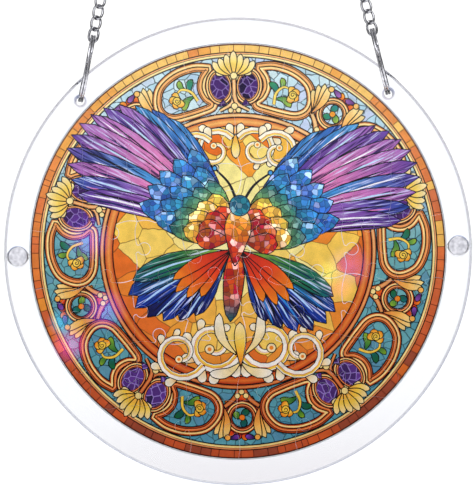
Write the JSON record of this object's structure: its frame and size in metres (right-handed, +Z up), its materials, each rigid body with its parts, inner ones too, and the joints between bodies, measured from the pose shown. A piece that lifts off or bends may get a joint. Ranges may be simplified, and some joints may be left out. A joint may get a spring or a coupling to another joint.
{
  "type": "acrylic puzzle suncatcher",
  "caption": "Round clear acrylic suncatcher: a printed jigsaw held in a frame ring between a back plate and a magnetic cover, hung from split rings on a chain.",
  "frame": {"origin": "the point inside the chain's middle link where the hook that holds the suncatcher bears", "axes": "+Z up, -Y the printed front, +X to the viewer's right"},
  "size_m": [0.15, 0.022, 0.3409],
  "materials": {
    "clear_acrylic": "clear polished acrylic sheet",
    "printed_acrylic": "acrylic sheet with a stained-glass style print",
    "nickel": "nickel-plated magnet, frosted look through the glue",
    "polished_steel": "bright plated steel wire"
  },
  "bodies": {
    "root": {"back_plate": "clear_acrylic", "chain": "polished_steel", "frame_ring": "clear_acrylic", "front_cover": "clear_acrylic", "magnet_cover_left": "nickel", "magnet_cover_right": "nickel", "magnet_ring_left": "nickel", "magnet_ring_right": "nickel", "puzzle_piece_01": "printed_acrylic", "puzzle_piece_02": "printed_acrylic", "puzzle_piece_03": "printed_acrylic", "puzzle_piece_04": "printed_acrylic", "puzzle_piece_05": "printed_acrylic", "puzzle_piece_06": "printed_acrylic", "puzzle_piece_07": "printed_acrylic", "puzzle_piece_08": "printed_acrylic", "puzzle_piece_09": "printed_acrylic", "puzzle_piece_10": "printed_acrylic", "puzzle_piece_11": "printed_acrylic", "puzzle_piece_12": "printed_acrylic", "puzzle_piece_13": "printed_acrylic", "puzzle_piece_14": "printed_acrylic", "puzzle_piece_15": "printed_acrylic", "puzzle_piece_16": "printed_acrylic", "puzzle_piece_17": "printed_acrylic", "puzzle_piece_18": "printed_acrylic", "puzzle_piece_19": "printed_acrylic", "puzzle_piece_20": "printed_acrylic", "puzzle_piece_21": "printed_acrylic", "puzzle_piece_22": "printed_acrylic", "puzzle_piece_23": "printed_acrylic", "puzzle_piece_24": "printed_acrylic", "puzzle_piece_25": "printed_acrylic", "puzzle_piece_26": "printed_acrylic", "puzzle_piece_27": "printed_acrylic", "puzzle_piece_28": "printed_acrylic", "puzzle_piece_29": "printed_acrylic", "puzzle_piece_30": "printed_acrylic", "puzzle_piece_31": "printed_acrylic", "puzzle_piece_32": "printed_acrylic", "puzzle_piece_33": "printed_acrylic", "puzzle_piece_34": "printed_acrylic", "puzzle_piece_35": "printed_acrylic", "puzzle_piece_36": "printed_acrylic", "puzzle_piece_37": "printed_acrylic", "puzzle_piece_38": "printed_acrylic", "puzzle_piece_39": "printed_acrylic", "puzzle_piece_40": "printed_acrylic", "puzzle_piece_41": "printed_acrylic", "puzzle_piece_42": "printed_acrylic", "puzzle_piece_43": "printed_acrylic", "puzzle_piece_44": "printed_acrylic", "split_ring_left": "polished_steel", "split_ring_right": "polished_steel"}
  },
  "joints": []
}
